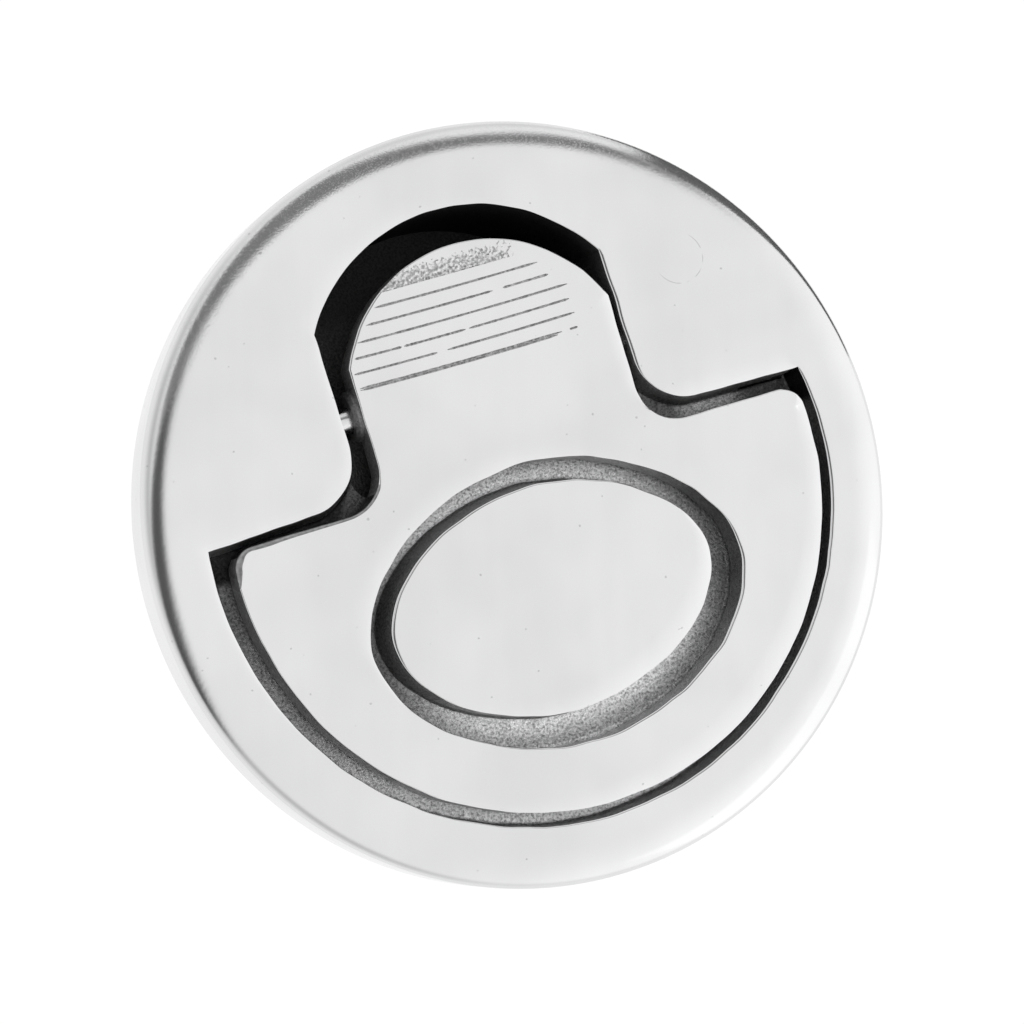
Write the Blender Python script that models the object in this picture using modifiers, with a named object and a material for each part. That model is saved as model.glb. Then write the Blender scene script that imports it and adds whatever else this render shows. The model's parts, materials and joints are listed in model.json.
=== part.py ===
"""Round flush lift ring for a hatch or locker lid.

A cast housing holds the ring in a keyhole recess. A raised oval island fills the ring's finger hole, so the
closed face is flush. Pressing the thumb tab into the well behind it swings the ring up about its cross pin.
Two studs screwed into the back of the island clamp the housing to a panel, so no screw shows on the face.

X runs along the pin, Y towards the thumb tab and Z out of the face. Z = 0 is the seat on the panel.
"""

import math

import bmesh
import bpy
from mathutils import Matrix, Vector

MM = 0.001

# Housing
HOUSING_RADIUS = 31.0 * MM
FLANGE_THICKNESS = 5.6 * MM
RIM_WIDTH = 3.0 * MM  # the crowned band between the flat face and the side
RIM_DROP = 1.1 * MM
SEAT_CHAMFER = 0.4 * MM

# Recess, seen from the front
RECESS_RADIUS = 26.1 * MM
RECESS_SHOULDER_Y = 3.96 * MM
RECESS_TIP_Y = 3.72 * MM
RECESS_FILLET = 4.5 * MM
NECK_HALF_WIDTH = 12.4 * MM
HEAD_BULGE = 2.25 * MM  # how far the head's circle stands out past the neck's sides
HEAD_CENTRE_Y = 9.8 * MM

# Oval island
ISLAND_HALF_LENGTH = 13.85 * MM
ISLAND_HALF_WIDTH = 9.16 * MM
ISLAND_CENTRE_X = -0.15 * MM
ISLAND_CENTRE_Y = -8.07 * MM
OVAL_EXPONENT = 1.87

# Lift ring, as gaps to the recess and the island that it lies in
RING_THICKNESS = 3.3 * MM
RING_EDGE = 0.25 * MM
RING_FLOOR_GAP = 0.3 * MM
RING_ARC_GAP = 1.3 * MM
RING_SHOULDER_GAP = 0.83 * MM
RING_NECK_GAP = 1.12 * MM
RING_FILLET = 3.5 * MM
RING_CORNER = 1.8 * MM
TAB_GAP = 2.38 * MM
TAB_SETBACK = 0.26 * MM
FINGER_GAP_ALONG = 2.13 * MM
FINGER_GAP_ACROSS = 2.3 * MM
FINGER_HOLE_SHIFT_Y = -0.09 * MM

# The ring lies a little askew and slid to one side in its play, as the photograph shows
RING_DROP = 0.36 * MM
RING_SLIDE = 0.64 * MM
RING_SKEW = math.radians(-0.93)

# Grip grooves across the thumb tab
GROOVE_COUNT = 6
GROOVE_PITCH = 1.19 * MM
GROOVE_WIDTH = 0.26 * MM
GROOVE_DEPTH = 0.16 * MM
GROOVE_FIRST_FROM_TIP = 3.35 * MM
GROOVE_MARGIN_LEFT = 0.6 * MM
GROOVE_MARGIN_RIGHT = 2.3 * MM

# Pin and hub
PIN_RADIUS = 1.0 * MM
PIN_CLEARANCE = 0.1 * MM
PIN_DEPTH = 2.3 * MM
PIVOT_Y = 10.4 * MM
PIN_BLIND_SEAT = 6.0 * MM
PIN_END_INSET = 0.5 * MM
PIN_CHAMFER = 0.25 * MM
HUB_WALL = 1.15 * MM
HUB_PROUD = 0.2 * MM

# Well behind the thumb tab
WELL_FRONT_Y = 3.6 * MM
WELL_CORNER = 2.0 * MM
LEDGE_DEPTH = 8.0 * MM
STOP_GAP = 0.3 * MM
SWING_CLEARANCE = 0.6 * MM
WELL_WALL = 2.0 * MM
BOSS_EDGE = 1.2 * MM
BOSS_OVERLAP = 1.4 * MM  # how far a boss runs up into the flange
CUT_STAGGER = 0.6 * MM  # keeps the ends of nested bosses and cuts off one plane

# Studs, washers and nuts behind the panel
PANEL_THICKNESS = 12.0 * MM
STUD_RADIUS = 2.5 * MM
STUD_SPACING = 16.0 * MM
STUD_ENGAGED = 4.0 * MM
STUD_SPARE = 5.0 * MM
STUD_CHAMFER = 0.5 * MM
THREAD_CLEARANCE = 0.1 * MM
STUD_END_GAP = 0.3 * MM
WASHER_RADIUS = 5.0 * MM
WASHER_THICKNESS = 1.0 * MM
WASHER_CLEARANCE = 0.2 * MM
LOCK_WASHER_RADIUS = 4.4 * MM
LOCK_WASHER_THICKNESS = 1.2 * MM
LOCK_WASHER_SLOT = 0.8 * MM
NUT_ACROSS_FLATS = 8.0 * MM
NUT_HEIGHT = 4.0 * MM
NUT_CHAMFER = math.radians(30)
STACK_GAP = 0.3 * MM

# How finely round shapes are divided
ARC_STEP = math.radians(4.0)
RIM_STEPS = 6
OVAL_POINTS = 80
RIM_SEGMENTS = 120
ROUND_SEGMENTS = 32
EDGE_STEPS = 2
OVERCUT = 1.0 * MM  # how far a cutter runs past the surface it opens

# What follows from the sizes above
FACE_Z = FLANGE_THICKNESS
HEAD_RADIUS = NECK_HALF_WIDTH + HEAD_BULGE
ISLAND_CENTRE = Vector((ISLAND_CENTRE_X, ISLAND_CENTRE_Y))
RING_RADIUS = RECESS_RADIUS - RING_ARC_GAP
RING_SHOULDER_Y = RECESS_SHOULDER_Y - RING_SHOULDER_GAP
RING_NECK_HALF_WIDTH = NECK_HALF_WIDTH - RING_NECK_GAP
TAB_RADIUS = HEAD_RADIUS - TAB_GAP
TAB_CENTRE_Y = HEAD_CENTRE_Y - TAB_SETBACK
TAB_TIP_Y = TAB_CENTRE_Y + TAB_RADIUS
RECESS_DEPTH = RING_THICKNESS + RING_FLOOR_GAP
PIN_Z = FACE_Z - PIN_DEPTH
HUB_RADIUS = PIN_RADIUS + PIN_CLEARANCE + HUB_WALL
PLATE_BELOW_PIN = RING_THICKNESS - PIN_DEPTH
STOP_Y = PIVOT_Y - PLATE_BELOW_PIN - STOP_GAP
TAB_REACH = math.hypot(TAB_TIP_Y - RING_DROP - PIVOT_Y, PLATE_BELOW_PIN)
WELL_DEPTH = PIN_DEPTH + TAB_REACH + SWING_CLEARANCE

PIVOT = Vector((0, PIVOT_Y, PIN_Z))
STEEL = (0.72, 0.72, 0.73, 1.0)


def clear_scene():
    for obj in list(bpy.data.objects):
        bpy.data.objects.remove(obj, do_unlink=True)


def new_collection(name):
    collection = bpy.data.collections.new(name)
    bpy.context.scene.collection.children.link(collection)
    return collection


def steel(name, roughness):
    material = bpy.data.materials.new(name)
    material.use_nodes = True
    shader = material.node_tree.nodes["Principled BSDF"]
    shader.inputs["Base Color"].default_value = STEEL
    shader.inputs["Metallic"].default_value = 1.0
    shader.inputs["Roughness"].default_value = roughness
    return material


def add_object(name, mesh, collection, material=None):
    obj = bpy.data.objects.new(name, mesh)
    collection.objects.link(obj)
    if material:
        mesh.materials.append(material)
    return obj


def add_cutter(name, mesh):
    obj = add_object(name, mesh, bpy.data.collections["cutters"])
    obj.hide_render = True
    obj.display_type = "WIRE"
    return obj


def combine(obj, other, operation):
    modifier = obj.modifiers.new(other.name, "BOOLEAN")
    modifier.operation = operation
    modifier.object = other
    modifier.solver = "EXACT"


def shade(obj, angle=math.radians(30)):
    obj.data.shade_smooth()
    obj.data.set_sharp_from_angle(angle=angle)


def mirrored(points):
    """The same points on the other side of the YZ plane, in the opposite order."""
    return [Vector((-point.x, point.y)) for point in reversed(points)]


def arc(centre, radius, start, end):
    """Points along an arc, both ends included, angles in radians from +X."""
    steps = max(2, math.ceil(abs(end - start) / ARC_STEP))
    angles = [start + (end - start) * step / steps for step in range(steps + 1)]
    return [centre + radius * Vector((math.cos(angle), math.sin(angle))) for angle in angles]


def oval(centre, half_length, half_width):
    """A slightly pointed ellipse."""
    points = []
    for step in range(OVAL_POINTS):
        angle = math.tau * (step + 0.5) / OVAL_POINTS
        along = math.copysign(abs(math.cos(angle)) ** (2 / OVAL_EXPONENT), math.cos(angle))
        across = math.copysign(abs(math.sin(angle)) ** (2 / OVAL_EXPONENT), math.sin(angle))
        points.append(centre + Vector((half_length * along, half_width * across)))
    return points


def head_side(half_width, centre_y, radius):
    """Right half of the keyhole's head, from its side up to the middle of its arc."""
    start = math.acos(half_width / radius)
    return arc(Vector((0, centre_y)), radius, start, math.pi / 2)


def slab_mesh(name, outlines, bottom, top, edge=0.0):
    """A flat plate between two heights, with its outline and holes, its edges rounded by edge."""
    curve = bpy.data.curves.new(name, "CURVE")
    curve.dimensions = "2D"
    curve.fill_mode = "BOTH"
    curve.extrude = (top - bottom) / 2 - edge
    curve.bevel_depth = edge
    curve.bevel_resolution = EDGE_STEPS - 1
    curve.offset = -edge
    for outline in outlines:
        spline = curve.splines.new("POLY")
        spline.points.add(len(outline) - 1)
        for place, point in zip(spline.points, outline):
            place.co = (point.x, point.y, 0, 1)
        spline.use_cyclic_u = True
    guide = bpy.data.objects.new(name + "_outline", curve)
    bpy.context.scene.collection.objects.link(guide)
    graph = bpy.context.evaluated_depsgraph_get()
    mesh = bpy.data.meshes.new_from_object(guide.evaluated_get(graph))
    bpy.data.objects.remove(guide)
    mesh.transform(Matrix.Translation((0, 0, (top + bottom) / 2)))
    shell = bmesh.new()
    shell.from_mesh(mesh)
    bmesh.ops.remove_doubles(shell, verts=shell.verts, dist=0.001 * MM)
    bmesh.ops.recalc_face_normals(shell, faces=shell.faces)
    shell.to_mesh(mesh)
    shell.free()
    mesh.name = name
    return mesh


def rod_mesh(name, radius, length, chamfer=0.0):
    """A round rod centred on the origin along Z, with chamfered ends."""
    shell = bmesh.new()
    bmesh.ops.create_cone(
        shell, cap_ends=True, segments=ROUND_SEGMENTS, radius1=radius, radius2=radius, depth=length
    )
    if chamfer:
        rims = [edge for edge in shell.edges if len({v.co.z > 0 for v in edge.verts}) == 1]
        bmesh.ops.bevel(shell, geom=rims, offset=chamfer, segments=1, affect="EDGES")
    mesh = bpy.data.meshes.new(name)
    shell.to_mesh(mesh)
    shell.free()
    return mesh


def lay_along_x(mesh):
    mesh.transform(Matrix.Rotation(math.pi / 2, 4, "Y"))
    return mesh


def turn(name, profile, segments, collection, material=None):
    """A turned solid: the profile's (radius, z) points run down its outer side, from axis to axis."""
    mesh = bpy.data.meshes.new(name)
    edges = [(number, number + 1) for number in range(len(profile) - 1)]
    mesh.from_pydata([(radius, 0, z) for radius, z in profile], edges, [])
    obj = add_object(name, mesh, collection, material)
    screw = obj.modifiers.new("turn", "SCREW")
    screw.steps = segments
    screw.render_steps = segments
    screw.use_merge_vertices = True
    screw.merge_threshold = 0.00001
    return obj


def recess_outline():
    """The keyhole recess: a wide arc for the ring below, square shoulders and a round head for the tab."""
    tip_angle = math.asin(RECESS_TIP_Y / RECESS_RADIUS)
    fillet_centre = Vector((NECK_HALF_WIDTH + RECESS_FILLET, RECESS_SHOULDER_Y + RECESS_FILLET))
    right = arc(Vector((0, 0)), RECESS_RADIUS, -math.pi / 2, tip_angle)
    right += arc(fillet_centre, RECESS_FILLET, -math.pi / 2, -math.pi)
    right += head_side(NECK_HALF_WIDTH, HEAD_CENTRE_Y, HEAD_RADIUS)
    return right + mirrored(right)[1:-1]


def well_outline(front_y, wall):
    """The keyhole's head below the ring, closed by a straight front with rounded corners."""
    half_width = NECK_HALF_WIDTH + wall
    corner = WELL_CORNER + wall
    front = front_y - wall
    right = [Vector((0, front))]
    right += arc(Vector((half_width - corner, front + corner)), corner, -math.pi / 2, 0)
    right += head_side(half_width, HEAD_CENTRE_Y, HEAD_RADIUS + wall)
    return right + mirrored(right)[1:-1]


def ring_outline():
    """The ring's plan, symmetric about its own Y axis, with the arc's centre as its origin."""
    corner_reach = RING_RADIUS - RING_CORNER
    corner_y = RING_SHOULDER_Y - RING_CORNER
    corner_centre = Vector((math.sqrt(corner_reach**2 - corner_y**2), corner_y))
    corner_start = math.atan2(corner_centre.y, corner_centre.x)
    fillet_centre = Vector((RING_NECK_HALF_WIDTH + RING_FILLET, RING_SHOULDER_Y + RING_FILLET))
    right = arc(Vector((0, 0)), RING_RADIUS, -math.pi / 2, corner_start)
    right += arc(corner_centre, RING_CORNER, corner_start, math.pi / 2)[1:]
    right += arc(fillet_centre, RING_FILLET, -math.pi / 2, -math.pi)
    right += head_side(RING_NECK_HALF_WIDTH, TAB_CENTRE_Y, TAB_RADIUS)
    return right + mirrored(right)[1:-1]


def finger_hole():
    return oval(
        ISLAND_CENTRE + Vector((0, FINGER_HOLE_SHIFT_Y)),
        ISLAND_HALF_LENGTH + FINGER_GAP_ALONG,
        ISLAND_HALF_WIDTH + FINGER_GAP_ACROSS,
    )


def rim_profile():
    """Half section of the flange: flat face, crowned rim, plain side and flat seat."""
    face_radius = HOUSING_RADIUS - RIM_WIDTH
    profile = [(0, FACE_Z)]
    for step in range(RIM_STEPS + 1):
        angle = math.pi / 2 * step / RIM_STEPS
        radius = face_radius + RIM_WIDTH * math.sin(angle)
        profile.append((radius, FACE_Z - RIM_DROP * (1 - math.cos(angle))))
    profile.append((HOUSING_RADIUS, SEAT_CHAMFER))
    profile.append((HOUSING_RADIUS - SEAT_CHAMFER, 0))
    profile.append((0, 0))
    return profile


def stud_places():
    """The side names and centres of the two fixings."""
    half = STUD_SPACING / 2
    return [("left", Vector((-half, ISLAND_CENTRE.y))), ("right", Vector((half, ISLAND_CENTRE.y)))]


def pin_span():
    """Where the pin's hole starts blind in the left side and where it meets the rim on the right."""
    rim_x = math.sqrt(HOUSING_RADIUS**2 - PIVOT_Y**2)
    return -NECK_HALF_WIDTH - PIN_BLIND_SEAT, rim_x


def make_housing(collection, material):
    """One casting: crowned flange, keyhole recess around the island, and the two-step well behind the tab."""
    housing = turn("housing", rim_profile(), RIM_SEGMENTS, collection, material)

    ledge_floor = FACE_Z - LEDGE_DEPTH
    well_floor = FACE_Z - WELL_DEPTH
    bosses = {
        "ledge_boss": (well_outline(WELL_FRONT_Y, WELL_WALL), ledge_floor - WELL_WALL, BOSS_OVERLAP),
        "well_boss": (well_outline(STOP_Y, WELL_WALL), well_floor - WELL_WALL, BOSS_OVERLAP + CUT_STAGGER),
    }
    for name, (outline, bottom, top) in bosses.items():
        boss = add_cutter(name, slab_mesh(name, [outline], bottom, top, BOSS_EDGE))
        combine(housing, boss, "UNION")

    island = oval(ISLAND_CENTRE, ISLAND_HALF_LENGTH, ISLAND_HALF_WIDTH)
    recess_floor = FACE_Z - RECESS_DEPTH
    cuts = {
        "recess": ([recess_outline(), island], recess_floor, FACE_Z + OVERCUT),
        "ledge": ([well_outline(WELL_FRONT_Y, 0)], ledge_floor, recess_floor + CUT_STAGGER),
        "well": ([well_outline(STOP_Y, 0)], well_floor, recess_floor + 2 * CUT_STAGGER),
    }
    for name, (outlines, bottom, top) in cuts.items():
        combine(housing, add_cutter(name, slab_mesh(name, outlines, bottom, top)), "DIFFERENCE")

    blind_end, rim_x = pin_span()
    bore_length = rim_x + OVERCUT - blind_end
    bore = add_cutter("pin_seat", lay_along_x(rod_mesh("pin_seat", PIN_RADIUS + PIN_CLEARANCE, bore_length)))
    bore.location = PIVOT + Vector((blind_end + bore_length / 2, 0, 0))
    combine(housing, bore, "DIFFERENCE")

    hole_depth = STUD_ENGAGED + STUD_END_GAP
    for side, place in stud_places():
        hole = add_cutter(
            "stud_hole_" + side,
            rod_mesh("stud_hole_" + side, STUD_RADIUS + THREAD_CLEARANCE, hole_depth + OVERCUT),
        )
        hole.location = (place.x, place.y, (hole_depth - OVERCUT) / 2)
        combine(housing, hole, "DIFFERENCE")
    shade(housing)


def groove_mesh():
    """One cutter for all the grip grooves, each ending short of the tab's edge."""
    shell = bmesh.new()
    for number in range(GROOVE_COUNT):
        y = TAB_TIP_Y - GROOVE_FIRST_FROM_TIP - number * GROOVE_PITCH
        above_centre = max(0.0, y - TAB_CENTRE_Y)
        edge_x = min(RING_NECK_HALF_WIDTH, math.sqrt(TAB_RADIUS**2 - above_centre**2))
        left = -edge_x + GROOVE_MARGIN_LEFT
        right = edge_x - GROOVE_MARGIN_RIGHT
        size = Vector((right - left, GROOVE_WIDTH, 2 * GROOVE_DEPTH))
        place = Matrix.Translation(((left + right) / 2, y, 0))
        bmesh.ops.create_cube(shell, size=1, matrix=place @ Matrix.Diagonal(size.to_4d()))
    mesh = bpy.data.meshes.new("grip_grooves")
    shell.to_mesh(mesh)
    shell.free()
    return mesh


def make_lift_ring(collection, material):
    """Tab, neck and ring in one casting with a hub across the neck, its origin on the pin's axis."""
    bottom, top = -PLATE_BELOW_PIN, PIN_DEPTH
    plate = slab_mesh("lift_ring", [ring_outline(), finger_hole()], bottom, top, RING_EDGE)
    to_pivot = Matrix.Translation((0, -RING_DROP - PIVOT_Y, 0))
    plate.transform(to_pivot)
    ring = add_object("lift_ring", plate, collection, material)
    ring.location = PIVOT + Vector((RING_SLIDE, 0, 0))
    ring.rotation_euler.z = RING_SKEW

    hub_length = 2 * (RING_NECK_HALF_WIDTH + HUB_PROUD)
    hub = add_cutter("hub", lay_along_x(rod_mesh("hub", HUB_RADIUS, hub_length)))
    hub.location = ring.location
    hub.rotation_euler = ring.rotation_euler
    combine(ring, hub, "UNION")

    bore = add_cutter("hub_bore", lay_along_x(rod_mesh("hub_bore", PIN_RADIUS + PIN_CLEARANCE, 2 * hub_length)))
    bore.location = PIVOT
    combine(ring, bore, "DIFFERENCE")

    groove_cutter = groove_mesh()
    groove_cutter.transform(Matrix.Translation((0, 0, top)) @ to_pivot)
    grooves = add_cutter("grip_grooves", groove_cutter)
    grooves.location = ring.location
    grooves.rotation_euler = ring.rotation_euler
    combine(ring, grooves, "DIFFERENCE")
    shade(ring)


def make_pin(collection, material):
    """The cross pin, pressed in from the rim on the right and stopped by the blind hole on the left."""
    blind_end, rim_x = pin_span()
    start = blind_end + PIN_END_INSET
    end = rim_x - PIN_END_INSET
    mesh = lay_along_x(rod_mesh("pivot_pin", PIN_RADIUS, end - start, PIN_CHAMFER))
    pin = add_object("pivot_pin", mesh, collection, material)
    pin.location = PIVOT + Vector(((start + end) / 2, 0, 0))
    shade(pin)


def circle(radius):
    turns = [math.tau * number / ROUND_SEGMENTS for number in range(ROUND_SEGMENTS)]
    return [radius * Vector((math.cos(angle), math.sin(angle))) for angle in turns]


def ring_mesh(name, inner, outer, thickness):
    """A flat ring centred on the origin."""
    return slab_mesh(name, [circle(outer), circle(inner)], -thickness / 2, thickness / 2)


def nut_mesh(name):
    """A hexagon with a clear bore, before its corners are chamfered."""
    corner = NUT_ACROSS_FLATS / 2 / math.cos(math.pi / 6)
    hexagon = [corner * Vector((math.cos(k * math.pi / 3), math.sin(k * math.pi / 3))) for k in range(6)]
    bore = circle(STUD_RADIUS + THREAD_CLEARANCE)
    return slab_mesh(name, [hexagon, bore], -NUT_HEIGHT / 2, NUT_HEIGHT / 2)


def nut_chamfer_profile():
    """Turned form that trims the nut's corners at both ends."""
    corner = NUT_ACROSS_FLATS / 2 / math.cos(math.pi / 6)
    wide = corner + OVERCUT
    half = NUT_HEIGHT / 2
    face = NUT_ACROSS_FLATS / 2
    drop = (wide - face) * math.tan(NUT_CHAMFER)
    return [(0, half), (face, half), (wide, half - drop), (wide, drop - half), (face, -half), (0, -half)]


def make_fixing(side, place, collection, material):
    """Stud, flat washer, split lock washer and nut, stacked under a panel of the stated thickness."""
    x, y = place
    length = STUD_ENGAGED + stack_depth() + STUD_SPARE
    stud = add_object(
        "stud_" + side, rod_mesh("stud_" + side, STUD_RADIUS, length, STUD_CHAMFER), collection, material
    )
    stud.location = (x, y, STUD_ENGAGED - length / 2)
    shade(stud)

    z = -PANEL_THICKNESS - WASHER_THICKNESS / 2
    inner = STUD_RADIUS + WASHER_CLEARANCE
    name = "flat_washer_" + side
    washer = add_object(name, ring_mesh(name, inner, WASHER_RADIUS, WASHER_THICKNESS), collection, material)
    washer.location = (x, y, z)
    shade(washer)

    z -= (WASHER_THICKNESS + LOCK_WASHER_THICKNESS) / 2 + STACK_GAP
    name = "lock_washer_" + side
    lock = add_object(
        name, ring_mesh(name, inner, LOCK_WASHER_RADIUS, LOCK_WASHER_THICKNESS), collection, material
    )
    lock.location = (x, y, z)
    slot_shell = bmesh.new()
    bmesh.ops.create_cube(slot_shell, size=1)
    slot_size = Vector((LOCK_WASHER_RADIUS * 2, LOCK_WASHER_SLOT, LOCK_WASHER_THICKNESS * 2))
    bmesh.ops.scale(slot_shell, vec=slot_size, verts=slot_shell.verts)
    slot_mesh = bpy.data.meshes.new("slot_" + side)
    slot_shell.to_mesh(slot_mesh)
    slot_shell.free()
    slot = add_cutter("slot_" + side, slot_mesh)
    slot.location = (x + LOCK_WASHER_RADIUS, y, z)
    combine(lock, slot, "DIFFERENCE")
    shade(lock)

    z -= (LOCK_WASHER_THICKNESS + NUT_HEIGHT) / 2 + STACK_GAP
    nut = add_object("nut_" + side, nut_mesh("nut_" + side), collection, material)
    nut.location = (x, y, z)
    cutters = bpy.data.collections["cutters"]
    chamfer = turn("nut_chamfer_" + side, nut_chamfer_profile(), ROUND_SEGMENTS, cutters)
    chamfer.hide_render = True
    chamfer.display_type = "WIRE"
    chamfer.location = nut.location
    combine(nut, chamfer, "INTERSECT")
    shade(nut)


def stack_depth():
    """From the seat to the far side of the nut."""
    return PANEL_THICKNESS + WASHER_THICKNESS + LOCK_WASHER_THICKNESS + NUT_HEIGHT + 2 * STACK_GAP


def main():
    clear_scene()
    parts = new_collection("flush_lift_ring")
    new_collection("cutters")
    polished = steel("polished_steel", 0.12)
    bright = steel("pin_steel", 0.2)
    plain = steel("fastener_steel", 0.3)
    make_housing(parts, polished)
    make_lift_ring(parts, polished)
    make_pin(parts, bright)
    for side, place in stud_places():
        make_fixing(side, place, parts, plain)


main()
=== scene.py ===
"""Looks of the flush lift ring: fine castings, threaded fixings, steel finishes, studio and camera."""

import json
import math

import bmesh
import bpy
from mathutils import Matrix, Vector, noise


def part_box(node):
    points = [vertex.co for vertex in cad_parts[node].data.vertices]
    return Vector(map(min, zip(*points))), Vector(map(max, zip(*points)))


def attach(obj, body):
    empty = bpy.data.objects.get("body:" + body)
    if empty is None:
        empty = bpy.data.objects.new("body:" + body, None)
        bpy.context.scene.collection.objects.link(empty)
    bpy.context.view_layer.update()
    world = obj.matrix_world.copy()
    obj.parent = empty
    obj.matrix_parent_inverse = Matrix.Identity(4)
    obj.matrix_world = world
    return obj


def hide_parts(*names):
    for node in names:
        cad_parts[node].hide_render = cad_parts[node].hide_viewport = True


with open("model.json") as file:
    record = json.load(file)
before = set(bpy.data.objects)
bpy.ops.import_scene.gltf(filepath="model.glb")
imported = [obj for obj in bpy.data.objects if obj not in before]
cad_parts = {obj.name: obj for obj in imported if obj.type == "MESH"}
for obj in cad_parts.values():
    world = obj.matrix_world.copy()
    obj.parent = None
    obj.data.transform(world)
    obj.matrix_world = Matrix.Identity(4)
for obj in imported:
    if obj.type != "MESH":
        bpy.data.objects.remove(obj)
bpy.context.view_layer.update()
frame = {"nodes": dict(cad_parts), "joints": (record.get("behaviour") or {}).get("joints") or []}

MM = 0.001

# Places that the frame gives
SEAT_BOX, FACE_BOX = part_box("housing")
HOUSING_RADIUS = FACE_BOX.x
FACE_Z = FACE_BOX.z
WELL_BOTTOM = SEAT_BOX.z
PIVOT = Vector(frame["joints"][0]["pos_m"])
PIN_RADIUS = (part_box("pivot_pin")[1].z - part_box("pivot_pin")[0].z) / 2
STUD_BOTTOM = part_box("stud_left")[0].z

# Housing
RIM_WIDTH = 3.0 * MM
RIM_DROP = 1.1 * MM
SEAT_CHAMFER = 0.4 * MM

# Recess, well and island, as the casting has them
RECESS_DEPTH = 3.6 * MM
RECESS_RADIUS = 26.1 * MM
RECESS_SHOULDER_Y = 3.96 * MM
RECESS_TIP_Y = 3.72 * MM
RECESS_FILLET = 4.5 * MM
NECK_HALF_WIDTH = 12.4 * MM
HEAD_RADIUS = 14.65 * MM
HEAD_CENTRE_Y = 9.8 * MM
ISLAND_HALF_LENGTH = 13.85 * MM
ISLAND_HALF_WIDTH = 9.16 * MM
ISLAND_CENTRE = Vector((-0.15 * MM, -8.07 * MM))
OVAL_EXPONENT = 1.87
WELL_FRONT_Y = 3.75 * MM
WELL_CENTRE = Vector((0, 13.0 * MM))
WELL_CORNER = 2.0 * MM
LEDGE_DEPTH = 8.0 * MM
STOP_Y = 9.1 * MM
WELL_WALL = 2.0 * MM
BOSS_EDGE = 1.2 * MM
BOSS_OVERLAP = 1.4 * MM
CUT_STAGGER = 0.6 * MM
BORE_CLEARANCE = 0.1 * MM

# Lift ring
RING_THICKNESS = 3.3 * MM
RING_LOWER_EDGE = 0.3 * MM
RING_RADIUS = 24.8 * MM
RING_SHOULDER_Y = 3.13 * MM
RING_NECK_HALF_WIDTH = 11.28 * MM
RING_FILLET = 3.5 * MM
RING_CORNER = 1.8 * MM
TAB_RADIUS = 12.27 * MM
TAB_CENTRE_Y = 9.54 * MM
FINGER_HALF_LENGTH = 15.98 * MM
FINGER_HALF_WIDTH = 11.46 * MM
FINGER_CENTRE = Vector((-0.15 * MM, -8.16 * MM))
RING_DROP = 0.36 * MM
RING_SLIDE = 0.64 * MM
RING_SKEW = math.radians(-0.93)
HUB_RADIUS = 2.1 * MM
HUB_HALF_LENGTH = 11.48 * MM
HUB_LEFT_FACING = 0.45 * MM

# Grip grooves and the unpolished strip across the thumb tab
GROOVE_PITCH = 1.19 * MM
GROOVE_WIDTH = 0.2 * MM
GROOVE_DEPTH = 0.12 * MM
GROOVE_BOW = 0.1 * MM
GROOVE_BOW_REACH = 9.0 * MM
GROOVE_MIDDLE = -1.0 * MM
GROOVE_FIRST_FROM_TIP = 3.35 * MM
GROOVE_RUNS_MM = (  # each groove's runs from left to right
    ((-7.8, 6.3),),
    ((-8.9, 2.0), (2.9, 6.9)),
    ((-10.0, 8.2),),
    ((-10.6, -6.6), (-6.4, -1.1), (-0.8, 8.0)),
    ((-11.0, -3.9), (-3.05, 8.1)),
    ((-10.9, 6.6), (7.3, 8.0)),
)
GROOVE_TAPER = 0.12 * MM
GROOVE_END = 0.3  # depth at a groove's ends, as a share of its full depth
GROOVE_RISE = 1.5  # how tall the cutter is, as a share of the groove's depth
GROOVE_UNEVEN = 0.25
GROOVE_UNEVEN_LENGTH = 0.3 * MM
DOUBLE_GROOVE_SHIFT = 0.15 * MM
DOUBLE_GROOVE_END = 6.2 * MM
STRIP_FROM_TIP = 2.28 * MM
STRIP_LENGTH = 1.5 * MM
STRIP_LEFT = -7.0 * MM
STRIP_RIGHT = 4.6 * MM
STRIP_DEPTH = 0.09 * MM
STRIP_GRAIN = 0.07 * MM
STRIP_CELL = 0.08 * MM
STRIP_GRAIN_LENGTH = 0.2 * MM
STRIP_GRAIN_LOW = 1.6  # grain at the strip's lower side, one less at its upper side
STRIP_LIFT = 0.2 * STRIP_GRAIN
STRIP_FADE = 3.0 * MM

# Edges rolled by hand buffing: wide where they face the near right, narrow elsewhere,
# and a little wider on one side of the thumb tab
ROLL_NARROW = 0.12 * MM
ROLL_LEFT = 0.35 * MM
ROLL_UPPER = 0.28 * MM
ROLL_WIDE = 2.2 * MM
ROLL_DROP = 0.12 * MM
ROLL_UPPER_DROP = 0.25 * MM
ROLL_WIDE_DROP = 0.2 * MM
ROLL_TOWARDS = Vector((0.6, -0.8))
ROLL_LEFTWARDS = Vector((-0.85, -0.5))
TAB_SIDE_PLACE = Vector((-9.8 * MM, 17.0 * MM))
TAB_SIDE_ROLL = 0.25 * MM
TAB_SIDE_REACH = 6.0 * MM

# Worn, dull edge of the ring's left shoulder, from the neck's fillet out to the corner
WORN_START = Vector((-12.6 * MM, 4.2 * MM))
WORN_CORNER = Vector((-23.9 * MM, 1.7 * MM))
WORN_REACH = 1.8 * MM
WORN_WIDTH = 0.55 * MM
WORN_DROP = 0.3 * MM
WORN_LEAST = 0.3
WORN_STEEPNESS = 2
WORN_FROM = 0.2
WORN_SLOPE = (0.1, 0.985)

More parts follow.
